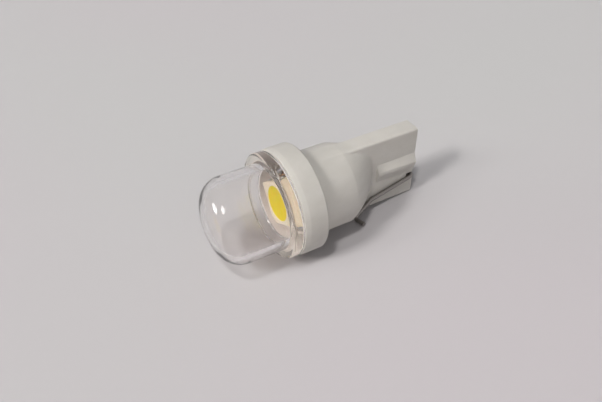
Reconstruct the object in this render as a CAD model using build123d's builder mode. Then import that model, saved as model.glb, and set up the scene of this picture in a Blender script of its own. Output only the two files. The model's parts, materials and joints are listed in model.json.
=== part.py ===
from build123d import *

import os
from math import asin, atan2, cos, degrees, radians, sin, sqrt, tan

# Wedge base LED bulb, W2.1x9.5d plug with a clear dome, lying on its side as it comes to rest.
# Millimetres, +Z up, +X from the dome to the plug, +Y across the plug's thickness.
# The origin is under the middle of the bulb, on the surface that it lies on.
# A station is a distance along the bulb's axis from the collar's front face, towards the plug.

# Housing: collar, barrel, shoulder and plug blade, one moulding
collar_radius = 6.1
collar_width = 2.8
collar_bevel_depth = 0.1
collar_bevel_width = 0.65
collar_rear_round = 0.15
barrel_radius = 4.7
barrel_length = 4.5
shoulder_length = 4.2
shoulder_end_width = 6.6
shoulder_end_thickness = 2.5
shoulder_fullness = 0.6
blade_width = 9.0
blade_thickness = 2.2
blade_reach = 6.15
blade_round = 0.25
key_width = 2.4
key_flat = 0.3
key_height = 0.4
key_length = 5.4

# Clear dome with its flange and spigot
dome_radius = 4.9
dome_length = 8.5
dome_corner = 2.75
dome_crown = 9.0
dome_wall = 0.85
dome_tip_wall = 0.6
cavity_corner = 2.2
cavity_crown = 8.4
flange_inset = 0.1
flange_thickness = 1.25
flange_round = 0.35
spigot_radius = 5.0
spigot_length = 1.35

# Circuit board and the copper pads on it
board_radius = 4.55
board_thickness = 1.0
board_ledge = 0.65
pad_thickness = 0.1
pad_depth = 1.3
pad_length = 4.2
joint_pad_radius = 0.6

# Light emitting diode, a 5.0 mm square package with a round phosphor window
led_size = 5.0
led_height = 1.35
led_turn = 57.7
led_notch = 0.9
window_radius = 2.05
window_depth = 0.85
die_size = 0.6
die_height = 0.12
die_circle = 0.75
terminal_width = 0.9
terminal_pitch = 1.6
terminal_thickness = 0.15
terminal_rise = 0.8
terminal_foot = 0.9

# Series resistor on the back of the board, a 3.2 mm by 1.6 mm chip
chip_length = 3.2
chip_width = 1.6
chip_height = 0.55
chip_cap = 0.5

# Contact wires: board joint, cavity, blade bore, end notch and back along a blade face
wire_radius = 0.25
wire_clearance = 0.05
wire_bore_offset = 1.9
wire_end_bend = 0.5
wire_end_sink = 0.2
wire_joint_turn = 45.0
wire_stick_out = 0.8
wire_bend = 0.6
lower_run_gap = 0.1
lower_run_drift = 1.4
upper_run_gap = 0.8
upper_run_drift = 1.1
solder_radius = 0.55
solder_height = 0.55

# Free end of the lower wire: it flares off the blade, then turns out over the surface
flare_length = 2.35
flare_side = 0.15
flare_bend = 0.9
hook_reach = 1.5
hook_skew = 0.32
hook_bend = 0.4
hook_clearance = 0.12

# Running clearances of the fitted pieces
fit_gap = 0.05

# Sections worked out from the driving sizes
shoulder_middle_thickness = (
    shoulder_end_thickness + (2 * barrel_radius - shoulder_end_thickness) * shoulder_fullness
)
shoulder_middle_width = (
    shoulder_end_width + (2 * barrel_radius - shoulder_end_width) * shoulder_fullness
)
flange_radius = collar_radius - flange_inset
flange_overhang = flange_radius - dome_radius
cavity_radius = board_radius - board_ledge
dome_bore = dome_radius - dome_wall
wire_joint_radius = dome_bore - fit_gap - joint_pad_radius

# Stations along the axis
collar_rear = collar_width
barrel_end = collar_rear + barrel_length
shoulder_end = barrel_end + shoulder_length
blade_end = shoulder_end + blade_reach
board_front = spigot_length
board_back = board_front + board_thickness
cavity_end = barrel_end - (barrel_radius - cavity_radius)
pad_front = board_front - pad_thickness
led_bottom = pad_front - terminal_thickness
led_front = led_bottom - led_height
notch_floor = blade_end - wire_end_sink - wire_end_bend - wire_radius

# Rest pose: the collar's rear rim and the lower edge of the blade's end touch the surface
rest_angle = atan2(collar_radius - blade_width / 2, blade_end - collar_rear)
along = Vector(cos(rest_angle), 0, -sin(rest_angle))
across = Vector(0, 1, 0)
above = Vector(sin(rest_angle), 0, cos(rest_angle))
left_end = (dome_crown - dome_length) * cos(rest_angle) - dome_crown
right_end = blade_end * cos(rest_angle) + blade_width / 2 * sin(rest_angle)
collar_centre = Vector(
    -(left_end + right_end) / 2,
    0,
    collar_rear * sin(rest_angle) + collar_radius * cos(rest_angle),
)
bulb_axis = Axis(collar_centre, along)
profile_plane = Plane(origin=collar_centre, x_dir=along, z_dir=-across)


def place(station, side, height):
    """Point of the bulb: station along its axis, side across the blade, height over the axis."""
    return collar_centre + along * station + across * side + above * height


def surface_height(station):
    """Height over the axis, at a station, of the surface that the bulb lies on."""
    return (station - collar_rear) * tan(rest_angle) - collar_radius


def section(station, turn=0.0):
    """Plane square to the axis at a station, its x direction turned about the axis."""
    direction = across * cos(radians(turn)) + above * sin(radians(turn))
    return Plane(origin=place(station, 0, 0), x_dir=direction, z_dir=along)


def rounded_cap(radius, corner, crown, tip):
    """Closed profile from station zero to a crowned tip, with a rounded corner between."""
    corner_centre = tip + crown - sqrt((crown - corner) ** 2 - (radius - corner) ** 2)
    crown_turn = degrees(asin((radius - corner) / (crown - corner)))
    side = Line((0, radius), (corner_centre, radius))
    bend = JernArc(side @ 1, side % 1, corner, 90 - crown_turn)
    dome_end = JernArc(bend @ 1, bend % 1, crown, crown_turn)
    Polyline(dome_end @ 1, (0, 0), (0, radius))


with BuildPart() as base_housing:
    with BuildSketch(section(0)):
        Circle(collar_radius)
    extrude(amount=collar_width)
    front_rim = base_housing.edges().filter_by(GeomType.CIRCLE).sort_by(Axis.X)[0]
    rear_rim = base_housing.edges().filter_by(GeomType.CIRCLE).sort_by(Axis.X)[-1]
    front_face = base_housing.faces().sort_by(Axis.X)[0]
    chamfer(front_rim, collar_bevel_depth, collar_bevel_width, reference=front_face)
    fillet(rear_rim, collar_rear_round)

    with BuildSketch(section(collar_rear)):
        Circle(barrel_radius)
    extrude(amount=barrel_length)

    with BuildSketch(section(barrel_end)):
        Circle(barrel_radius)
    with BuildSketch(section(barrel_end + shoulder_length / 2)):
        Ellipse(shoulder_middle_thickness / 2, shoulder_middle_width / 2)
    with BuildSketch(section(shoulder_end)):
        Ellipse(shoulder_end_thickness / 2, shoulder_end_width / 2)
    loft()

    with BuildSketch(section(barrel_end)):
        RectangleRounded(blade_thickness, blade_width, blade_round)
    extrude(amount=blade_end - barrel_end)

    # Raised key along the middle of each blade face to the blade's end, with sloping long sides
    for facing in (1, -1):
        with BuildSketch(section(blade_end - key_length)):
            with BuildLine():
                Polyline(
                    (0, key_width / 2),
                    (facing * blade_thickness / 2, key_width / 2),
                    (facing * (blade_thickness / 2 + key_height), key_flat / 2),
                    (facing * (blade_thickness / 2 + key_height), -key_flat / 2),
                    (facing * blade_thickness / 2, -key_width / 2),
                    (0, -key_width / 2),
                    close=True,
                )
            make_face()
        extrude(amount=key_length)

    # Seats for the dome's spigot and the board, and the cavity behind the board
    with BuildSketch(section(0)):
        Circle(spigot_radius + fit_gap)
    extrude(amount=spigot_length, mode=Mode.SUBTRACT)
    with BuildSketch(section(board_front)):
        Circle(board_radius + fit_gap)
    extrude(amount=board_thickness, mode=Mode.SUBTRACT)
    with BuildSketch(section(board_back)):
        Circle(cavity_radius)
    extrude(amount=cavity_end - board_back, mode=Mode.SUBTRACT)

    # Wire bores through the blade, each opening into a notch that leads to one blade face
    for facing in (1, -1):
        with BuildSketch(section(cavity_end)):
            with Locations((0, facing * wire_bore_offset)):
                Circle(wire_radius + wire_clearance)
        extrude(amount=blade_end - cavity_end, mode=Mode.SUBTRACT)
        notch_reach = blade_thickness / 2 + wire_radius + wire_clearance
        with BuildSketch(section(notch_floor - wire_clearance)):
            with Locations((facing * (blade_thickness / 2 - notch_reach / 2), facing * wire_bore_offset)):
                Rectangle(notch_reach, 2 * (wire_radius + 2 * wire_clearance))
        extrude(amount=blade_end - notch_floor + wire_clearance, mode=Mode.SUBTRACT)

with BuildPart() as lens_dome:
    with BuildSketch(profile_plane) as dome_profile:
        with BuildLine():
            rounded_cap(dome_radius, dome_corner, dome_crown, -dome_length)
        make_face()
        with Locations((-flange_thickness / 2, flange_radius / 2)):
            Rectangle(flange_thickness, flange_radius)
        flange_rim = dome_profile.vertices().group_by(Axis.Y)[-1].sort_by(Axis.X)[0]
        fillet(flange_rim, min(flange_round, flange_overhang / 2))
        with Locations((spigot_length / 2, spigot_radius / 2)):
            Rectangle(spigot_length, spigot_radius)
        with BuildLine():
            rounded_cap(dome_bore, cavity_corner, cavity_crown, dome_tip_wall - dome_length)
        make_face(mode=Mode.SUBTRACT)
        with Locations((spigot_length / 2, dome_bore / 2)):
            Rectangle(spigot_length, dome_bore, mode=Mode.SUBTRACT)
    revolve(axis=bulb_axis)

# Board joints of the two contact wires, opposite each other across the board
joint_turns = (wire_joint_turn, wire_joint_turn + 180)


def joint_spot(turn):
    """Side and height of a wire joint on the board."""
    return (wire_joint_radius * cos(radians(turn)), wire_joint_radius * sin(radians(turn)))


with BuildPart() as circuit_board:
    with BuildSketch(section(board_front)):
        Circle(board_radius)
        with Locations(*[joint_spot(turn) for turn in joint_turns]):
            Circle(wire_radius + wire_clearance, mode=Mode.SUBTRACT)
    extrude(amount=board_thickness)

parts = {"base_housing": base_housing, "lens_dome": lens_dome, "circuit_board": circuit_board}

# Front pads, each under one row of the diode's terminals and around one wire joint
for number, facing in ((1, 1), (2, -1)):
    with BuildPart() as front_pad:
        with BuildSketch(section(pad_front, led_turn)):
            with Locations((facing * (led_size + terminal_thickness - terminal_foot) / 2, 0)):
                Rectangle(pad_depth, pad_length)
        with BuildSketch(section(pad_front)):
            with Locations(joint_spot(joint_turns[number - 1])):
                Circle(joint_pad_radius)
        extrude(amount=pad_thickness)
        with BuildSketch(section(pad_front)):
            with Locations(joint_spot(joint_turns[number - 1])):
                Circle(wire_radius + wire_clearance)
        extrude(amount=pad_thickness, mode=Mode.SUBTRACT)
    parts[f"front_pad_{number}"] = front_pad

with BuildPart() as led_body:
    with BuildSketch(section(led_front, led_turn)):
        Rectangle(led_size, led_size)
    extrude(amount=led_height)
    notch_edge = led_body.edges().filter_by(Axis(collar_centre, along)).sort_by(
        Axis(collar_centre, section(0, led_turn).x_dir + section(0, led_turn).y_dir)
    )[0]
    chamfer(notch_edge, led_notch)
    with BuildSketch(section(led_front, led_turn)):
        Circle(window_radius)
    extrude(amount=window_depth, mode=Mode.SUBTRACT)
parts["led_body"] = led_body

window_floor = led_front + window_depth
with BuildPart() as led_phosphor:
    with BuildSketch(section(led_front, led_turn)):
        Circle(window_radius)
    extrude(amount=window_depth)
    with BuildSketch(section(window_floor, led_turn)):
        with PolarLocations(die_circle, 3):
            Rectangle(die_size, die_size)
    extrude(amount=-die_height, mode=Mode.SUBTRACT)
parts["led_phosphor"] = led_phosphor

for number in (1, 2, 3):
    with BuildPart() as led_die:
        with BuildSketch(section(window_floor, led_turn)):
            with PolarLocations(die_circle, 1, start_angle=120 * (number - 1)):
                Rectangle(die_size, die_size)
        extrude(amount=-die_height)
    parts[f"led_die_{number}"] = led_die

# Six terminals, each with a strip up the side of the body and a foot under it
number = 0
for facing in (1, -1):
    for row in (-1, 0, 1):
        number += 1
        with BuildPart() as led_terminal:
            with BuildSketch(section(pad_front, led_turn)):
                outer_edge = led_size / 2 + terminal_thickness
                with Locations((facing * (outer_edge - terminal_foot / 2), row * terminal_pitch)):
                    Rectangle(terminal_foot, terminal_width)
            extrude(amount=-terminal_thickness)
            with BuildSketch(section(led_bottom, led_turn)):
                with Locations((facing * (outer_edge - terminal_thickness / 2), row * terminal_pitch)):
                    Rectangle(terminal_thickness, terminal_width)
            extrude(amount=-terminal_rise)
        parts[f"led_terminal_{number}"] = led_terminal

# Chip resistor on the back of the board, its two caps each on a pad
for number, facing in ((1, 1), (2, -1)):
    cap_centre = facing * (chip_length - chip_cap) / 2
    with BuildPart() as back_pad:
        with BuildSketch(section(board_back, led_turn)):
            with Locations((cap_centre, 0)):
                Rectangle(pad_depth, chip_width)
        extrude(amount=pad_thickness)
    parts[f"back_pad_{number}"] = back_pad
    with BuildPart() as resistor_cap:
        with BuildSketch(section(board_back + pad_thickness, led_turn)):
            with Locations((cap_centre, 0)):
                Rectangle(chip_cap, chip_width)
        extrude(amount=chip_height)
    parts[f"resistor_cap_{number}"] = resistor_cap
with BuildPart() as resistor_body:
    with BuildSketch(section(board_back + pad_thickness, led_turn)):
        Rectangle(chip_length - 2 * chip_cap, chip_width)
    extrude(amount=chip_height)
parts["resistor_body"] = resistor_body


def wire_route(facing, joint_turn, run_gap, drift):
    """Corners and bend radii of a contact wire from its board joint to the end of its face run."""
    joint_side, joint_height = joint_spot(joint_turn)
    bore_height = facing * wire_bore_offset
    face_side = facing * (blade_thickness / 2 + wire_radius)
    turn_station = blade_end - wire_end_sink
    cavity_middle = (board_back + cavity_end) / 2
    points = [
        place(pad_front - wire_stick_out, joint_side, joint_height),
        place(cavity_middle - wire_bend, joint_side, joint_height),
        place(cavity_end - wire_bend, 0, bore_height),
        place(turn_station, 0, bore_height),
        place(turn_station, face_side, bore_height),
        place(shoulder_end + run_gap, face_side, bore_height + facing * drift),
    ]
    bends = [wire_bend, wire_bend, wire_end_bend, wire_end_bend]
    return points, bends


def wire_solid(points, bends):
    """Round wire swept along straight runs joined by tangent arcs."""
    with BuildPart() as wire:
        with BuildLine() as route:
            FilletPolyline(*points, radius=bends)
        with BuildSketch(Plane(origin=route.line @ 0, z_dir=route.line % 0)):
            Circle(wire_radius)
        sweep()
    return wire


# The lower wire's free end flares off the blade under the shoulder and turns out over the surface
flare_station = shoulder_end + lower_run_gap - flare_length
flare_offset = -(blade_thickness / 2 + wire_radius + flare_side)
hook_station = flare_station + hook_skew
hook_height = wire_radius + hook_clearance
lower_points, lower_bends = wire_route(-1, joint_turns[1], lower_run_gap, lower_run_drift)
lower_points += [
    place(flare_station, flare_offset, surface_height(flare_station) + hook_height),
    place(hook_station, flare_offset - hook_reach, surface_height(hook_station) + hook_height),
]
lower_bends += [flare_bend, hook_bend]
parts["contact_wire_lower"] = wire_solid(lower_points, lower_bends)
upper_points, upper_bends = wire_route(1, joint_turns[0], upper_run_gap, upper_run_drift)
parts["contact_wire_upper"] = wire_solid(upper_points, upper_bends)

for number, turn in enumerate(joint_turns, start=1):
    with BuildPart() as joint_solder:
        with BuildSketch(section(pad_front)):
            with Locations(joint_spot(turn)):
                Circle(solder_radius)
        with BuildSketch(section(pad_front - solder_height)):
            with Locations(joint_spot(turn)):
                Circle(wire_radius + wire_clearance)
        loft()
        with BuildSketch(section(pad_front)):
            with Locations(joint_spot(turn)):
                Circle(wire_radius)
        extrude(amount=-solder_height, mode=Mode.SUBTRACT)
    parts[f"joint_solder_{number}"] = joint_solder

os.makedirs("parts", exist_ok=True)
for name, piece in parts.items():
    piece.part.label = name
    export_step(piece.part, f"parts/{name}.step")
    print(name, round(piece.part.volume, 3), piece.part.is_valid)
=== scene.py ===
import json
import math

import bmesh
import bpy
from mathutils import Matrix, Vector


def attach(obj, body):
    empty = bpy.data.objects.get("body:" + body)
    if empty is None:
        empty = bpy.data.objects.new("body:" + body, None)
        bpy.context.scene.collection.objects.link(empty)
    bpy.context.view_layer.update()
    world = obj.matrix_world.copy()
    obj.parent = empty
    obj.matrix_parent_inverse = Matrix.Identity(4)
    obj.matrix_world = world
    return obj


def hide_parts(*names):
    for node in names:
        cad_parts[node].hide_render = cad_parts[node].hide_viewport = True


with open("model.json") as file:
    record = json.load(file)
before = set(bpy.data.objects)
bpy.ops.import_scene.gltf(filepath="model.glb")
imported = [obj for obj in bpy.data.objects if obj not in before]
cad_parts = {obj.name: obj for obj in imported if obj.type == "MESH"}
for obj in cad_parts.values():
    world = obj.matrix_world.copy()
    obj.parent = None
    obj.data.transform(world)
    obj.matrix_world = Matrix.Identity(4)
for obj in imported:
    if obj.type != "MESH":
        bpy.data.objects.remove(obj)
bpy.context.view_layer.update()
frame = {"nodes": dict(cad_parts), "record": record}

# Sizes in mm, as in the solids. A station is a distance along the bulb from the collar's front face.
# A half is half of a width, a round is the radius of a rounded edge, and a turn is in degrees.
# A fullness, a limit or a sway is a share.
MM = 0.001
TINY = 1e-6

# Housing
COLLAR_RADIUS = 6.1
COLLAR_WIDTH = 2.8
COLLAR_BEVEL_DEPTH = 0.1
COLLAR_BEVEL_WIDTH = 0.65
COLLAR_BEVEL_ROUND = 0.3
COLLAR_FRONT_ROUND = 0.06
COLLAR_REAR_ROUND = 0.22
COLLAR_FOOT_ROUND = 0.2
BARREL_RADIUS = 4.7
BARREL_END = 7.3
SHOULDER_END = 11.5
SHOULDER_END_HALF = (1.25, 3.3)
SHOULDER_FULLNESS = 0.6
SHOULDER_BLEND = 0.3
SHOULDER_ROWS = 26
BLADE_END = 17.65
BLADE_HALF = (1.1, 4.5)
BLADE_ROUND = 0.25
BLADE_END_ROUND = 0.12
KEY_START = 12.25
KEY_HALF = 1.2
KEY_FLAT_HALF = 0.15
KEY_HEIGHT = 0.4
NOTCH_FLOOR = 16.65
NOTCH_HALF = 0.35
NOTCH_HEIGHT = 1.9
NOTCH_SIDE = 0.3
SEAT_RADIUS = 5.05
SEAT_DEPTH = 1.35
SEAT_ROUND = 0.08
BOARD_SEAT_RADIUS = 4.6
BOARD_BACK = 2.35
CAVITY_RADIUS = 3.9
CAVITY_END = 6.5
CAVITY_END_ROUND = 0.4
# Angle in degrees past which an edge of the housing stays sharp
HOUSING_SHARP = 38

# Dome, flange and glue. The hollow in the dome has a tip, a corner and a crown of its own.
DOME_RADIUS = 4.9
DOME_TIP = -8.5
DOME_CORNER = 2.75
DOME_CROWN = 9.0
DOME_BORE = 4.05
HOLLOW_TIP = -7.9
HOLLOW_CORNER = 2.2
HOLLOW_CROWN = 8.4
DOME_STEPS = 26
DOME_SIDES = 180
FLANGE_RADIUS = 6.0
FLANGE_THICKNESS = 1.25
FLANGE_ROUND = 0.35
FLANGE_BACK = -0.08
FLANGE_BACK_ROUND = 0.1
FLANGE_FOOT_ROUND = 0.05
SPIGOT_RADIUS = 5.0
SPIGOT_GAP = 0.05
SPIGOT_END_ROUND = 0.1
SPIGOT_FOOT_ROUND = 0.06
ROUND_STEPS = 8
GLUE_RADIUS = (5.15, 5.5)
GLUE_MIDDLE_TURN = 165.0
GLUE_LIMIT = 0.35
BEAD_RADIUS = 0.028
BEAD_SWELL = 0.012
BEAD_WAVES = 23
BEAD_PHASE = 1.3

# Diode and wire joints
PAD_FRONT = 1.25
LED_BOTTOM = 1.1
LED_FRONT = -0.25
LED_HALF = 2.5
LED_NOTCH = 0.9
LED_TURN = 57.7
LED_SEAM_DEPTH = 0.75
LED_SEAM_HALF = 0.02
LED_SEAM_STEP = 0.04
LED_ROUND = 0.1
WINDOW_RADIUS = 2.05
WINDOW_FLOOR = 0.6
WINDOW_LIP = 0.05
WINDOW_LIP_DEPTH = 0.03
WINDOW_TAPER = 0.12
WINDOW_TAPER_DEPTH = 0.4
FILL_SUNK = 0.05
FILL_GAP = 0.01
FILL_DIP = 0.07
JOINT_RADIUS = 3.4
JOINT_TURNS = (45.0, 225.0)
SOLDER_TOP = 0.62
SOLDER_SWAY = 0.05
CHIP_EDGE_ROUND = 0.03

# Waves in the glue's edge: depth in mm, number round the bulb and phase
GLUE_WAVES = ((0.14, 11, 0.6), (0.09, 23, 2.1))
# The shoulder's end sinking into the blade: distance past its end and share of its size
SHOULDER_FADES = ((0.05, 0.97), (0.1, 0.92), (0.16, 0.86))
# The front of the raised key: distance from its start and share of its height
KEY_RAMP = ((-0.1, 0), (-0.05, 0.12), (0, 0.5), (0.05, 0.88), (0.1, 1))
# Side of a solder cone: rise over the pad and radius
SOLDER_SIDE = ((0.0, 0.56), (0.06, 0.55), (0.16, 0.47), (0.3, 0.38), (0.48, 0.31), (0.6, 0.272))

# The bulb's own frame, from the plug's mount: along the axis, across the blade, and over the axis
plug = next(mount for mount in frame["record"]["mounts"] if mount["name"] == "wedge_plug")
ALONG = Vector(plug["axis"]).normalized()
ACROSS = Vector((0, 1, 0))
ABOVE = ALONG.cross(ACROSS)
COLLAR_CENTRE = Vector(plug["pos_m"]) - ALONG * BLADE_END * MM
BULB = Matrix.Translation(COLLAR_CENTRE) @ Matrix((ALONG, ACROSS, ABOVE)).transposed().to_4x4()
BULB = BULB @ Matrix.Scale(MM, 4)


def place(station, side, height):
    """Point of the bulb in the row frame, in metres."""
    return BULB @ Vector((station, side, height))


def direction(station, side, height):
    """Direction in the bulb's frame, turned into the row frame."""
    return (ALONG * station + ACROSS * side + ABOVE * height).normalized()


# Materials


class Paint:
    """A node material with one Principled shader, and short calls for the nodes that feed it."""

    def __init__(self, name, colour, roughness, **sockets):
        self.material = bpy.data.materials.new(name)
        self.material.use_nodes = True
        self.nodes = self.material.node_tree.nodes
        self.links = self.material.node_tree.links
        self.shader = self.nodes["Principled BSDF"]
        self.shader.inputs["Base Color"].default_value = (*colour, 1)
        self.shader.inputs["Roughness"].default_value = roughness
        for socket, value in sockets.items():
            self.shader.inputs[socket.replace("_", " ")].default_value = value
        self.where = self.nodes.new("ShaderNodeTexCoord").outputs["Object"]

    def noise(self, size_mm, detail=3.0, rough=0.55, stretch=(1, 1, 1)):
        """Noise with features about size_mm across, from 0 to 1."""
        mapping = self.nodes.new("ShaderNodeMapping")
        mapping.inputs["Scale"].default_value = stretch
        texture = self.nodes.new("ShaderNodeTexNoise")
        texture.inputs["Scale"].default_value = 1 / (size_mm * MM)
        texture.inputs["Detail"].default_value = detail
        texture.inputs["Roughness"].default_value = rough
        self.links.new(self.where, mapping.inputs["Vector"])
        self.links.new(mapping.outputs["Vector"], texture.inputs["Vector"])
        return texture.outputs["Fac"]

    def ramp(self, factor, stops):
        """Colour ramp over a factor. Stops are (position, colour)."""
        ramp = self.nodes.new("ShaderNodeValToRGB")
        elements = ramp.color_ramp.elements
        while len(elements) < len(stops):
            elements.new(0.5)
        for element, (position, colour) in zip(elements, stops):
            element.position = position
            element.color = (*colour, 1)
        self.links.new(factor, ramp.inputs["Fac"])
        return ramp.outputs["Color"]

    def beside_axis(self, towards):
        """Distance in mm from the bulb's axis, measured towards a direction in the row frame."""
        along = self.nodes.new("ShaderNodeVectorMath")
        along.operation = "DOT_PRODUCT"
        along.inputs[1].default_value = towards / MM
        self.links.new(self.where, along.inputs[0])
        offset = self.nodes.new("ShaderNodeMath")
        offset.operation = "SUBTRACT"
        offset.inputs[1].default_value = towards.dot(COLLAR_CENTRE) / MM
        self.links.new(along.outputs["Value"], offset.inputs[0])
        return offset.outputs["Value"]

    def grazing(self):
        """Share from 0 where a surface is met square on to 1 where it is grazed."""
        return self.nodes.new("ShaderNodeLayerWeight").outputs["Facing"]

    def colour(self, source):
        """Surface colour from a node."""
        self.links.new(source, self.shader.inputs["Base Color"])
        return self

    def rough(self, factor, low, high):
        """Roughness that runs from low to high with a factor."""
        spread = self.nodes.new("ShaderNodeMapRange")
        spread.inputs["To Min"].default_value = low
        spread.inputs["To Max"].default_value = high
        self.links.new(factor, spread.inputs["Value"])
        self.links.new(spread.outputs["Result"], self.shader.inputs["Roughness"])
        return self

    def bump(self, height, depth_mm, strength=1.0):
        """Bump from a height factor, depth_mm deep."""
        bump = self.nodes.new("ShaderNodeBump")
        bump.inputs["Strength"].default_value = strength
        bump.inputs["Distance"].default_value = depth_mm * MM
        self.links.new(height, bump.inputs["Height"])
        self.links.new(bump.outputs["Normal"], self.shader.inputs["Normal"])
        return self

    def clear_shadow(self, tint, rim_tint):
        """Lets lamp light through, less where it grazes, so that a clear piece casts a light shadow."""
        path = self.nodes.new("ShaderNodeLightPath")
        clear = self.nodes.new("ShaderNodeBsdfTransparent")
        stops = [(0.2, tint), (0.85, rim_tint)]
        self.links.new(self.ramp(self.grazing(), stops), clear.inputs["Color"])
        mix = self.nodes.new("ShaderNodeMixShader")
        self.links.new(path.outputs["Is Shadow Ray"], mix.inputs["Fac"])
        self.links.new(self.shader.outputs["BSDF"], mix.inputs[1])
        self.links.new(clear.outputs["BSDF"], mix.inputs[2])
        self.links.new(mix.outputs["Shader"], self.nodes["Material Output"].inputs["Surface"])
        return self


def housing_plastic():
    """Off-white moulded plastic with a fine skin and faint flow marks."""
    paint = Paint("moulded_plastic", (0.54, 0.52, 0.48), 0.48, Subsurface_Weight=0.12)
    paint.shader.inputs["Subsurface Radius"].default_value = (1.0, 0.8, 0.6)
    paint.shader.inputs["Subsurface Scale"].default_value = 0.6 * MM
    flow = paint.noise(4.0, 4.0, 0.6, (1, 1, 2.2))
    paint.colour(paint.ramp(flow, [(0.3, (0.51, 0.49, 0.45)), (0.7, (0.57, 0.55, 0.51))]))
    paint.rough(paint.noise(0.9), 0.38, 0.58)
    paint.bump(paint.noise(0.16, 4.0, 0.6), 0.012, 0.5)
    return paint.material


def dome_plastic(name, tint, rim_tint):
    """Clear polished plastic, a little darker at its rims. The tints are what its shadow lets pass."""
    clear = (0.99, 0.977, 0.97)
    paint = Paint(name, clear, 0.015, Transmission_Weight=1.0, IOR=1.49)
    rim = [(0.86, clear), (0.99, (0.8, 0.77, 0.74))]
    paint.colour(paint.ramp(paint.grazing(), rim))
    paint.rough(paint.noise(2.5), 0.005, 0.03)
    paint.bump(paint.noise(3.0, 2.0), 0.02, 0.12)
    paint.clear_shadow(tint, rim_tint)
    return paint.material


def glue():
    """Clear cured glue with a slight amber tint."""
    paint = Paint("cured_glue", (0.5, 0.46, 0.4), 0.08, Transmission_Weight=0.6, IOR=1.56)
    paint.bump(paint.noise(0.4, 2.0), 0.05, 0.6)
    paint.clear_shadow((0.8, 0.78, 0.74), (0.6, 0.58, 0.54))
    return paint.material


def glued_back_painted_light():
    """Back of the clear flange and spigot against the housing, paler towards the glue's side and darker
    on the far side, as painted light and shade.
    """
    paint = Paint("glued_back_painted_light", (0.7, 0.65, 0.6), 0.5)
    turn = math.radians(GLUE_MIDDLE_TURN)
    spread = paint.nodes.new("ShaderNodeMapRange")
    spread.inputs["From Min"].default_value = -SPIGOT_RADIUS
    spread.inputs["From Max"].default_value = SPIGOT_RADIUS
    glue_side_painted_light = direction(0, math.cos(turn), math.sin(turn))
    paint.links.new(paint.beside_axis(glue_side_painted_light), spread.inputs["Value"])
    # Painted light and shade: paler towards the glue's side and darker on the far side, standing in for
    # how light falls inside the clear flange.
    stops = [(0.3, (0.72, 0.66, 0.61)), (0.6, (0.72, 0.67, 0.62)), (0.8, (0.8, 0.75, 0.69))]
    paint.colour(paint.ramp(spread.outputs["Result"], stops))
    paint.bump(paint.noise(0.5), 0.02, 0.4)
    return paint.material


def package_resin():
    """Cream moulding resin of the diode's package."""
    paint = Paint("package_resin", (0.88, 0.78, 0.6), 0.35, Subsurface_Weight=0.1)
    paint.shader.inputs["Subsurface Scale"].default_value = 0.3 * MM
    cloud = paint.noise(1.2)
    paint.colour(paint.ramp(cloud, [(0.3, (0.85, 0.74, 0.56)), (0.7, (0.9, 0.8, 0.63))]))
    paint.bump(paint.noise(0.08), 0.006, 0.4)
    return paint.material


def phosphor_fill():
    """Yellow phosphor in silicone, mottled between a warmer and a greener yellow."""
    paint = Paint("phosphor_silicone", (0.76, 0.6, 0.0), 0.5, Subsurface_Weight=0.2)
    paint.shader.inputs["Subsurface Scale"].default_value = 0.4 * MM
    paint.shader.inputs["Specular IOR Level"].default_value = 0.25
    grain = paint.noise(0.5, 5.0, 0.65)
    stops = [(0.25, (0.82, 0.54, 0.0)), (0.55, (0.8, 0.66, 0.0)), (0.85, (0.78, 0.71, 0.015))]
    paint.colour(paint.ramp(grain, stops))
    paint.bump(paint.noise(0.2), 0.01, 0.3)
    return paint.material


def solder_resist():
    """White solder resist over glass laminate."""
    paint = Paint("solder_resist", (0.66, 0.62, 0.58), 0.3)
    cloud = paint.noise(1.5)
    paint.colour(paint.ramp(cloud, [(0.3, (0.62, 0.57, 0.52)), (0.7, (0.7, 0.66, 0.62))]))
    paint.bump(paint.noise(0.25, 3.0), 0.01, 0.4)
    return paint.material


def metal(name, colour, roughness, scratch_mm, depth_mm):
    """Metal with a fine uneven surface."""
    paint = Paint(name, colour, roughness, Metallic=1.0)
    grain = paint.noise(scratch_mm, 4.0, 0.6)
    dull = tuple(c * 0.8 for c in colour)
    paint.colour(paint.ramp(grain, [(0.35, dull), (0.65, colour)]))
    paint.rough(grain, roughness * 0.75, roughness * 1.35)
    paint.bump(grain, depth_mm, 0.5)
    return paint.material


def dark_chip(name, colour, roughness):
    """Glazed dark chip or die."""
    paint = Paint(name, colour, roughness)
    paint.rough(paint.noise(0.3), roughness * 0.8, roughness * 1.3)
    paint.bump(paint.noise(0.1), 0.004, 0.4)
    return paint.material


def table_top():
    """Pale matt table whose colour drifts slowly between cool and warm."""
    paint = Paint("table_top", (0.5, 0.48, 0.49), 0.75)
    drift = paint.noise(90.0, 1.0, 0.4)
    paint.colour(paint.ramp(drift, [(0.35, (0.49, 0.485, 0.485)), (0.65, (0.5, 0.47, 0.485))]))
    paint.bump(paint.noise(0.8, 4.0), 0.02, 0.25)
    return paint.material


# Mesh making, in the bulb's frame and in mm: x is the station, y the side and z the height


def add_mesh(name, vertices, faces):
    """A closed mesh made in the bulb's frame, with its faces turned outward, and put into place."""
    mesh = bpy.data.meshes.new(name)
    mesh.from_pydata(vertices, [], faces)
    shape = bmesh.new()
    shape.from_mesh(mesh)
    bmesh.ops.recalc_face_normals(shape, faces=shape.faces)
    shape.to_mesh(mesh)
    shape.free()
    mesh.transform(BULB)
    piece = bpy.data.objects.new(name, mesh)
    bpy.context.scene.collection.objects.link(piece)
    return piece


def add_piece(name, vertices, faces, material, replaces=(), sharp=40.0):
    """A closed mesh made in the bulb's frame, shaded smooth and set on the root body."""
    piece = add_mesh(name, vertices, faces)
    dress(piece, material, sharp)
    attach(piece, "root")
    if replaces:
        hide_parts(*replaces)
    return piece


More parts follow.
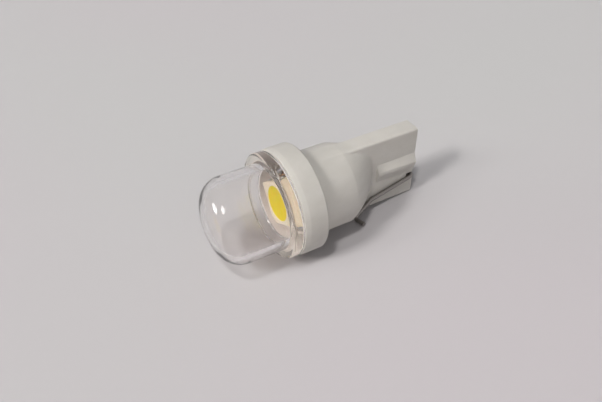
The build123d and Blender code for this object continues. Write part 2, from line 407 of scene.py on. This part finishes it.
def dress(piece, material, sharp=40.0):
    """Material and smooth shading, with edges sharper than an angle left sharp."""
    piece.data.materials.clear()
    piece.data.materials.append(material)
    piece.data.shade_smooth()
    piece.data.set_sharp_from_angle(angle=math.radians(sharp))


def arc(centre, radius, start, end, steps):
    """Points of an arc in the station and radius plane, between two angles in degrees."""
    points = []
    for step in range(steps + 1):
        angle = math.radians(start + (end - start) * step / steps)
        points.append((centre[0] + radius * math.cos(angle), centre[1] + radius * math.sin(angle)))
    return points


def rounded(corners, steps=5):
    """Polyline in a plane with its corners rounded. A corner is (x, y) or (x, y, radius)."""
    points = []
    for index, corner in enumerate(corners):
        here = Vector(corner[:2])
        if len(corner) < 3 or index in (0, len(corners) - 1):
            points.append(tuple(here))
            continue
        back = (Vector(corners[index - 1][:2]) - here).normalized()
        ahead = (Vector(corners[index + 1][:2]) - here).normalized()
        half = back.angle(ahead) / 2
        centre = here + (back + ahead).normalized() * corner[2] / math.sin(half)
        first = here + back * corner[2] / math.tan(half) - centre
        last = here + ahead * corner[2] / math.tan(half) - centre
        for step in range(steps + 1):
            spoke = first.lerp(last, step / steps).normalized() * corner[2]
            points.append(tuple(centre + spoke))
    return points


def cap_profile(radius, corner, crown, tip, steps):
    """Side of a round end running into a rounded corner and a crowned tip on the axis."""
    centre = tip + crown - math.sqrt((crown - corner) ** 2 - (radius - corner) ** 2)
    turn = math.degrees(math.asin((radius - corner) / (crown - corner)))
    bend = arc((centre, radius - corner), corner, 90, 180 - turn, steps)
    end = arc((tip + crown, 0), crown, 180 - turn, 180, steps)
    return bend + end[1:-1] + [(tip, 0)]


def star_mesh(rows, angles):
    """Closed skin through rows of (station, radius at each angle). A row of radius zero is a pole."""
    vertices = []
    rings = []
    for station, reach in rows:
        if not callable(reach):
            radii = [reach] * len(angles)
        else:
            radii = [reach(angle) for angle in angles]
        if max(radii) < TINY:
            rings.append([len(vertices)])
            vertices.append((station, 0, 0))
            continue
        rings.append(list(range(len(vertices), len(vertices) + len(angles))))
        for angle, radius in zip(angles, radii):
            vertices.append((station, radius * math.cos(angle), radius * math.sin(angle)))
    faces = []
    count = len(angles)
    for ring, following in zip(rings, rings[1:]):
        for index in range(count):
            after = (index + 1) % count
            if len(ring) == 1:
                faces.append((ring[0], following[after], following[index]))
            elif len(following) == 1:
                faces.append((ring[index], ring[after], following[0]))
            else:
                faces.append((ring[index], ring[after], following[after], following[index]))
    return vertices, faces


def even_angles(count):
    """Turns round the axis in radians, evenly spaced."""
    return [2 * math.pi * index / count for index in range(count)]


def moved_aside(points, side, height):
    """Points made about the axis, moved off it."""
    return [(x, y + side, z + height) for x, y, z in points]


# Housing


def ellipse_reach(half_side, half_height, angle):
    """Distance from the centre of an ellipse to its edge."""
    return half_side * half_height / math.hypot(
        half_height * math.cos(angle), half_side * math.sin(angle)
    )


def blade_reach(angle, key):
    """Distance from the axis to the blade's skin: a rounded rectangle with a raised key."""
    across, above = abs(math.cos(angle)), abs(math.sin(angle))
    half_side, half_height = BLADE_HALF
    core_side, core_height = half_side - BLADE_ROUND, half_height - BLADE_ROUND
    on_face = half_side / max(across, TINY)
    on_edge = half_height / max(above, TINY)
    if on_face * above <= core_height:
        reach = on_face
    elif on_edge * across <= core_side:
        reach = on_edge
    else:
        projection = across * core_side + above * core_height
        reach = projection + math.sqrt(
            projection ** 2 - core_side ** 2 - core_height ** 2 + BLADE_ROUND ** 2
        )
    if key > 0:
        height = KEY_HEIGHT * key
        slope = height / (KEY_HALF - KEY_FLAT_HALF)
        flat = (half_side + height) / max(across, TINY)
        flank = (half_side + slope * KEY_HALF) / (across + slope * above)
        raised = flat if flat * above <= KEY_FLAT_HALF else flank
        reach = max(reach, raised) if raised * above <= KEY_HALF else reach
    return reach


def smooth_max(first, second, blend):
    """Larger of two lengths, with a soft valley where they meet."""
    overlap = max(blend - abs(first - second), 0) / blend
    return max(first, second) + overlap ** 2 * blend / 4


def through(first, middle, last, share):
    """Parabola through three values at shares 0, a half and 1."""
    return (
        first * (1 - share) * (1 - 2 * share)
        + middle * 4 * share * (1 - share)
        + last * share * (2 * share - 1)
    )


def shoulder_row(share, fade=1.0):
    """Skin of the shoulder at a share of its length, joined softly to the blade."""
    halves = []
    for last in SHOULDER_END_HALF:
        middle = last + (BARREL_RADIUS - last) * SHOULDER_FULLNESS
        halves.append(through(BARREL_RADIUS, middle, last, share) * fade)

    def reach(angle):
        swell = ellipse_reach(halves[0], halves[1], angle)
        return smooth_max(swell, blade_reach(angle, 0), SHOULDER_BLEND)

    return reach


def blade_row(key=0.0, inset=0.0):
    """Skin of the blade, with its key raised by a share of its height."""

    def reach(angle):
        return blade_reach(angle, key) - inset

    return reach


def housing_angles():
    """Even turns round the axis, closer together at the blade's corners and the key's edges."""
    angles = even_angles(150)
    closest = 0.004
    corner_steps = 6
    edges = []
    corner_side = BLADE_HALF[0] - BLADE_ROUND
    corner_height = BLADE_HALF[1] - BLADE_ROUND
    for step in range(corner_steps + 1):
        turn = math.radians(90 / corner_steps * step)
        edges.append(
            math.atan2(
                corner_height + BLADE_ROUND * math.sin(turn),
                corner_side + BLADE_ROUND * math.cos(turn),
            )
        )
    edges.append(math.atan2(KEY_FLAT_HALF, BLADE_HALF[0] + KEY_HEIGHT))
    edges.append(math.atan2(KEY_HALF, BLADE_HALF[0]))
    for edge in edges:
        angles += [edge, math.pi - edge, math.pi + edge, 2 * math.pi - edge]
    angles.sort()
    kept = [angles[0]]
    for angle in angles[1:]:
        if angle - kept[-1] > closest:
            kept.append(angle)
    return kept


def housing_rows():
    """Rows from the floor of the housing's hollow, out over the collar and back to the blade's end."""
    collar_front = COLLAR_RADIUS - COLLAR_BEVEL_DEPTH
    rows = rounded(
        [
            (CAVITY_END, 0),
            (CAVITY_END, CAVITY_RADIUS, CAVITY_END_ROUND),
            (BOARD_BACK, CAVITY_RADIUS),
            (BOARD_BACK, BOARD_SEAT_RADIUS),
            (SEAT_DEPTH, BOARD_SEAT_RADIUS),
            (SEAT_DEPTH, SEAT_RADIUS),
            (0, SEAT_RADIUS, SEAT_ROUND),
            (0, collar_front, COLLAR_FRONT_ROUND),
            (COLLAR_BEVEL_WIDTH, COLLAR_RADIUS, COLLAR_BEVEL_ROUND),
            (COLLAR_WIDTH, COLLAR_RADIUS, COLLAR_REAR_ROUND),
            (COLLAR_WIDTH, BARREL_RADIUS, COLLAR_FOOT_ROUND),
            (BARREL_END, BARREL_RADIUS),
        ]
    )
    for step in range(1, SHOULDER_ROWS + 1):
        share = step / SHOULDER_ROWS
        rows.append((BARREL_END + (SHOULDER_END - BARREL_END) * share, shoulder_row(share)))
    for run, fade in SHOULDER_FADES:
        rows.append((SHOULDER_END + run, shoulder_row(1.0, fade)))
    for run, key in KEY_RAMP:
        rows.append((KEY_START + run, blade_row(key)))
    for station, inset in arc((0, 0), BLADE_END_ROUND, 90, 0, 4):
        sunk = BLADE_END_ROUND - inset
        rows.append((BLADE_END - BLADE_END_ROUND + station, blade_row(1, sunk)))
    rows.append((BLADE_END, 0))
    return rows


def box(low, high):
    """Vertices and faces of a box between two corners."""
    corners = [
        (x, y, z) for x in (low[0], high[0]) for y in (low[1], high[1]) for z in (low[2], high[2])
    ]
    faces = [(0, 1, 3, 2), (4, 6, 7, 5), (0, 4, 5, 1), (2, 3, 7, 6), (0, 2, 6, 4), (1, 5, 7, 3)]
    return corners, faces


def cut(piece, cutters, material, sharp):
    """Takes the cutters' shapes out of a piece, and leaves a plain mesh."""
    for cutter in cutters:
        modifier = piece.modifiers.new("cut", "BOOLEAN")
        modifier.operation = "DIFFERENCE"
        modifier.solver = "EXACT"
        modifier.object = cutter
    bpy.context.view_layer.update()
    shaped = piece.evaluated_get(bpy.context.evaluated_depsgraph_get())
    piece.data = bpy.data.meshes.new_from_object(shaped)
    piece.modifiers.clear()
    for cutter in cutters:
        bpy.data.objects.remove(cutter)
    dress(piece, material, sharp)


def build_housing():
    """Collar, barrel, shoulder and blade in one skin, with a notch for a wire in each blade face."""
    material = housing_plastic()
    vertices, faces = star_mesh(housing_rows(), housing_angles())
    housing = add_piece(
        "housing_shell",
        vertices,
        faces,
        material,
        ("base_housing",),
        HOUSING_SHARP,
    )
    past = 1
    cutters = []
    for facing in (1, -1):
        sides = sorted((-facing * NOTCH_SIDE, facing * (BLADE_HALF[0] + past)))
        low = (NOTCH_FLOOR, sides[0], facing * NOTCH_HEIGHT - NOTCH_HALF)
        high = (BLADE_END + past, sides[1], facing * NOTCH_HEIGHT + NOTCH_HALF)
        cutters.append(add_mesh("cutter", *box(low, high)))
    cut(housing, cutters, material, HOUSING_SHARP)


# Dome and glue


def glue_share(angle):
    """How far the glue spreads at an angle: a crescent on one side, and none past its limit."""
    return max(math.cos(angle - math.radians(GLUE_MIDDLE_TURN)) - GLUE_LIMIT, 0) ** 0.5


def glue_edge(angle):
    """Radius that the glue under the flange reaches at an angle, with a wavy edge."""
    spread = glue_share(angle)
    wander = sum(depth * math.sin(count * angle + phase) for depth, count, phase in GLUE_WAVES)
    least, most = GLUE_RADIUS
    return least + (most - least + wander) * spread


def dome_profile():
    """Section of the dome from the tip of its hollow, round the spigot and flange, to its own tip."""
    spigot_end = SEAT_DEPTH - SPIGOT_GAP
    # Rings on the flange's back that lie just inside and just outside the glue's wavy edge
    glue_inside = SPIGOT_RADIUS + 0.07
    glue_outside = GLUE_RADIUS[1] + 0.28
    inner = cap_profile(DOME_BORE, HOLLOW_CORNER, HOLLOW_CROWN, HOLLOW_TIP, DOME_STEPS)
    outer = cap_profile(DOME_RADIUS, DOME_CORNER, DOME_CROWN, DOME_TIP, DOME_STEPS)
    spigot = rounded(
        [
            inner[0],
            (spigot_end, DOME_BORE, SPIGOT_END_ROUND),
            (spigot_end, SPIGOT_RADIUS, SPIGOT_END_ROUND),
            (FLANGE_BACK, SPIGOT_RADIUS, SPIGOT_FOOT_ROUND),
            (FLANGE_BACK, glue_inside),
        ],
        ROUND_STEPS,
    )
    flange = rounded(
        [
            (FLANGE_BACK, glue_outside),
            (FLANGE_BACK, FLANGE_RADIUS, FLANGE_BACK_ROUND),
            (-FLANGE_THICKNESS, FLANGE_RADIUS, FLANGE_ROUND),
            (-FLANGE_THICKNESS, DOME_RADIUS, FLANGE_FOOT_ROUND),
            outer[0],
        ],
        ROUND_STEPS,
    )
    return inner[::-1] + spigot[1:] + [(FLANGE_BACK, glue_edge)] + flange[:-1] + outer


def build_dome():
    """Clear dome whose flange, glued back and hollow have materials of their own."""
    vertices, faces = star_mesh(dome_profile(), even_angles(DOME_SIDES))
    cap = dome_plastic("clear_polymer", (0.64, 0.61, 0.59), (0.44, 0.42, 0.4))
    dome = add_piece("dome_shell", vertices, faces, cap, ("lens_dome",), 60)
    glued, flange, hollow = 1, 2, 3
    dome.data.materials.append(glued_back_painted_light())
    dome.data.materials.append(dome_plastic("clear_flange", (0.97, 0.97, 0.96), (0.85, 0.85, 0.84)))
    dome.data.materials.append(dome_plastic("clear_cavity", (1.0, 1.0, 1.0), (1.0, 1.0, 1.0)))
    slack = 0.01
    bore_edge = DOME_BORE + 0.02
    dome_edge = DOME_RADIUS + 0.04
    to_bulb = BULB.inverted()
    for face in dome.data.polygons:
        centre = to_bulb @ face.center
        reach = math.hypot(centre.y, centre.z)
        turn = math.atan2(centre.z, centre.y)
        seated = centre.x > FLANGE_BACK - slack and reach > bore_edge
        if seated and reach < glue_edge(turn):
            face.material_index = glued
        elif reach > dome_edge:
            face.material_index = flange
        elif reach < bore_edge and centre.x > HOLLOW_TIP - slack:
            face.material_index = hollow


def ring_tube(centre_line, size_at, sides):
    """Round tube along a closed line of points in the bulb's frame, its radius given by a share."""
    vertices = []
    count = len(centre_line)
    for index, point in enumerate(centre_line):
        ahead = Vector(centre_line[(index + 1) % count]) - Vector(centre_line[index - 1])
        outward = Vector((0, point[1], point[2])).normalized()
        across = ahead.cross(outward).normalized()
        outward = across.cross(ahead).normalized()
        size = size_at(index / count)
        for turn in even_angles(sides):
            spoke = outward * math.cos(turn) + across * math.sin(turn)
            vertices.append(tuple(Vector(point) + spoke * size))
    faces = []
    for index in range(count):
        ring = index * sides
        following = (index + 1) % count * sides
        for side in range(sides):
            after = (side + 1) % sides
            faces.append((ring + side, ring + after, following + after, following + side))
    return vertices, faces


def build_glue():
    """Uneven bead at the edge of the glue between the flange and the collar."""
    line = []
    for turn in even_angles(360):
        radius = glue_edge(turn)
        line.append((FLANGE_BACK / 2, radius * math.cos(turn), radius * math.sin(turn)))

    def size_at(share):
        return BEAD_RADIUS + BEAD_SWELL * math.sin(2 * math.pi * BEAD_WAVES * share + BEAD_PHASE)

    vertices, faces = ring_tube(line, size_at, 8)
    add_piece("glue_ring", vertices, faces, glue())


# Diode, wire joints and the solids that show as they are


def package_row(inset):
    """Outline of the diode's square package, one corner cut off, drawn in by an inset."""
    turn = math.radians(LED_TURN)

    def reach(angle):
        side, height = math.cos(angle - turn), math.sin(angle - turn)
        edge = (LED_HALF - inset) / max(abs(side), abs(height))
        notch_line = 2 * LED_HALF - LED_NOTCH - inset * math.sqrt(2)
        towards_notch = -(side + height)
        if towards_notch > 0:
            edge = min(edge, notch_line / towards_notch)
        return edge

    return reach


def build_package():
    """Package with a seam round its sides, rounded front edges and a round window."""
    seam = LED_FRONT + LED_SEAM_DEPTH
    rows = [
        (LED_BOTTOM, 0),
        (LED_BOTTOM, package_row(0.0)),
        (seam + LED_SEAM_HALF, package_row(0.0)),
        (seam - LED_SEAM_HALF, package_row(LED_SEAM_STEP)),
    ]
    for station, inset in arc((0, 0), LED_ROUND, 0, 90, 4):
        outline = package_row(LED_SEAM_STEP + LED_ROUND - station)
        rows.append((LED_FRONT + LED_ROUND - inset, outline))
    rows += [
        (LED_FRONT, WINDOW_RADIUS + WINDOW_LIP),
        (LED_FRONT + WINDOW_LIP_DEPTH, WINDOW_RADIUS),
        (LED_FRONT + WINDOW_TAPER_DEPTH, WINDOW_RADIUS - WINDOW_TAPER),
        (WINDOW_FLOOR, WINDOW_RADIUS - WINDOW_TAPER),
        (WINDOW_FLOOR, 0),
    ]
    turn = math.radians(LED_TURN)
    angles = sorted({round((angle + turn) % (2 * math.pi), 6) for angle in even_angles(96)})
    vertices, faces = star_mesh(rows, angles)
    add_piece("diode_package", vertices, faces, package_resin(), ("led_body",), 30)


def build_phosphor():
    """Filling of the window, its surface dipped a little in the middle."""
    top_radius = WINDOW_RADIUS - FILL_GAP
    bottom_radius = WINDOW_RADIUS - WINDOW_TAPER - FILL_GAP
    top = LED_FRONT + FILL_SUNK
    rows = [
        (WINDOW_FLOOR - FILL_GAP, 0),
        (WINDOW_FLOOR - FILL_GAP, bottom_radius),
        (LED_FRONT + WINDOW_TAPER_DEPTH, bottom_radius),
        (top - FILL_GAP, top_radius),
    ]
    for share in (0.97, 0.9, 0.75, 0.5, 0.25):
        rows.append((top + FILL_DIP * (1 - share ** 4), top_radius * share))
    rows.append((top + FILL_DIP, 0))
    vertices, faces = star_mesh(rows, even_angles(72))
    add_piece("phosphor_fill", vertices, faces, phosphor_fill(), ("led_phosphor",), 50)


def solder_row(radius, phase):
    """Outline of a solder cone, a little uneven round its wire."""

    def reach(angle):
        return radius + SOLDER_SWAY * radius * math.sin(3 * angle + phase)

    return reach


def build_joints():
    """Solder cones that climb each wire's end from its pad."""
    material = metal("bright_solder", (0.75, 0.76, 0.78), 0.16, 0.3, 0.02)
    for number, joint_turn in enumerate(JOINT_TURNS, start=1):
        turn = math.radians(joint_turn)
        rows = [(PAD_FRONT, 0)]
        for rise, radius in SOLDER_SIDE:
            rows.append((PAD_FRONT - rise, solder_row(radius, number)))
        rows.append((PAD_FRONT - SOLDER_TOP, 0))
        vertices, faces = star_mesh(rows, even_angles(40))
        side, height = JOINT_RADIUS * math.cos(turn), JOINT_RADIUS * math.sin(turn)
        add_piece(
            f"solder_fillet_{number}",
            moved_aside(vertices, side, height),
            faces,
            material,
            (f"joint_solder_{number}",),
            50,
        )


def dress_solids():
    """Materials and small edge rounds for the solids that show as they are."""
    by_slot = {
        "tinned_wire": metal("tinned_wire", (0.36, 0.34, 0.32), 0.42, 0.12, 0.008),
        "tinned_terminal": metal("tinned_terminal", (0.72, 0.71, 0.68), 0.3, 0.2, 0.006),
        "copper_pad": metal("copper_foil", (0.6, 0.36, 0.2), 0.35, 0.3, 0.005),
        "board_laminate": solder_resist(),
        "resistor_ceramic": dark_chip("chip_glaze", (0.03, 0.03, 0.035), 0.3),
        "led_chip": dark_chip("die_surface", (0.08, 0.09, 0.16), 0.15),
    }
    slots = {entry["node"]: entry["material_slot"] for entry in frame["record"]["subparts"]}
    for name, node in frame["nodes"].items():
        if slots[name] not in by_slot:
            continue
        for slot in node.material_slots:
            slot.material = by_slot[slots[name]]
        if slots[name] in ("tinned_terminal", "resistor_ceramic"):
            bevel = node.modifiers.new("edge_round", "BEVEL")
            bevel.width = CHIP_EDGE_ROUND * MM
            bevel.segments = 2
            bevel.limit_method = "ANGLE"


# Table, light and camera


def build_table():
    """Flat table under the bulb, which isn't part of it."""
    half_m = 3.0
    mesh = bpy.data.meshes.new("table")
    corners = [(-half_m, -half_m, 0), (half_m, -half_m, 0), (half_m, half_m, 0), (-half_m, half_m, 0)]
    mesh.from_pydata(corners, [], [(0, 1, 2, 3)])
    table = bpy.data.objects.new("table", mesh)
    bpy.context.scene.collection.objects.link(table)
    mesh.materials.append(table_top())


def area_lamp(name, towards, size, watts, colour, spread=180.0, glossy=True):
    """Area lamp that shines on the bulb from a direction in the bulb's frame."""
    distance_m = 2.1
    lamp = bpy.data.lights.new(name, "AREA")
    lamp.shape = "SQUARE"
    lamp.size = size
    lamp.spread = math.radians(spread)
    lamp.energy = watts
    lamp.color = colour
    holder = bpy.data.objects.new(name, lamp)
    bpy.context.scene.collection.objects.link(holder)
    away = direction(*towards)
    holder.location = COLLAR_CENTRE + away * distance_m
    holder.rotation_mode = "QUATERNION"
    holder.rotation_quaternion = away.to_track_quat("Z", "Y")
    holder.visible_camera = False
    holder.visible_glossy = glossy
    holder.visible_transmission = glossy


def build_world():
    """Soft studio light from all round, and a plain backdrop where the world itself is seen."""
    world = bpy.data.worlds.new("studio")
    bpy.context.scene.world = world
    world.use_nodes = True
    nodes, links = world.node_tree.nodes, world.node_tree.links
    background = nodes["Background"]
    background.inputs["Strength"].default_value = 0.3
    where = nodes.new("ShaderNodeTexCoord")
    split = nodes.new("ShaderNodeSeparateXYZ")
    ramp = nodes.new("ShaderNodeValToRGB")
    ramp.color_ramp.elements[0].position = 0.0
    ramp.color_ramp.elements[0].color = (0.6, 0.59, 0.6, 1)
    ramp.color_ramp.elements[1].position = 0.8
    ramp.color_ramp.elements[1].color = (0.86, 0.87, 0.9, 1)
    links.new(where.outputs["Generated"], split.inputs["Vector"])
    links.new(split.outputs["Z"], ramp.inputs["Fac"])
    links.new(ramp.outputs["Color"], background.inputs["Color"])
    seen = nodes.new("ShaderNodeBackground")
    seen.inputs["Color"].default_value = (0.56, 0.54, 0.55, 1)
    path = nodes.new("ShaderNodeLightPath")
    shown = path.outputs["Is Camera Ray"]
    for ray in ("Is Glossy Ray", "Is Transmission Ray"):
        either = nodes.new("ShaderNodeMath")
        either.operation = "MAXIMUM"
        links.new(shown, either.inputs[0])
        links.new(path.outputs[ray], either.inputs[1])
        shown = either.outputs["Value"]
    mix = nodes.new("ShaderNodeMixShader")
    links.new(shown, mix.inputs["Fac"])
    links.new(background.outputs["Background"], mix.inputs[1])
    links.new(seen.outputs["Background"], mix.inputs[2])
    links.new(mix.outputs["Shader"], nodes["World Output"].inputs["Surface"])


def build_lamps():
    """Three lamps that light the bulb, and two weak ones whose reflections show on the dome."""
    warm = (1.0, 0.98, 0.96)
    area_lamp("key", (-0.757, -0.1, 0.631), 0.39, 26.0, warm, glossy=False)
    area_lamp("overhead", (-0.34, -0.28, 0.9), 0.2, 16.0, warm, glossy=False)
    area_lamp("fill", (-0.1, -0.85, 0.52), 1.2, 4.6, warm, glossy=False)
    windows = ((-0.85, 0.52, 0.02), (-0.87, 0.1, 0.48))
    for number, towards in enumerate(windows, start=1):
        area_lamp(f"window_{number}", towards, 0.52, 0.26, (1.0, 0.99, 0.98), spread=30.0)


def build_camera():
    """Camera at the photo's viewing angle, from a fit of the bulb's outlines."""
    focal_px = 670.0
    image_width_px = 602.0
    camera = bpy.data.cameras.new("camera")
    camera.sensor_width = 36.0
    camera.lens = focal_px / image_width_px * camera.sensor_width
    camera.clip_start = 1 * MM
    camera.clip_end = 20.0
    holder = bpy.data.objects.new("camera", camera)
    bpy.context.scene.collection.objects.link(holder)
    right = direction(0.86289446, -0.50538212, 0.00143754)
    down = direction(-0.31883103, -0.54657786, -0.77433805)
    back = right.cross(-down).normalized()
    upward = back.cross(right).normalized()
    eye = place(-26.243, -49.596, 46.134)
    facing = Matrix((right, upward, back)).transposed().to_4x4()
    holder.matrix_world = Matrix.Translation(eye) @ facing
    bpy.context.scene.camera = holder


build_housing()
build_dome()
build_glue()
build_package()
build_phosphor()
build_joints()
dress_solids()
build_table()
build_world()
build_lamps()
build_camera()
bpy.context.scene.view_settings.view_transform = "Standard"
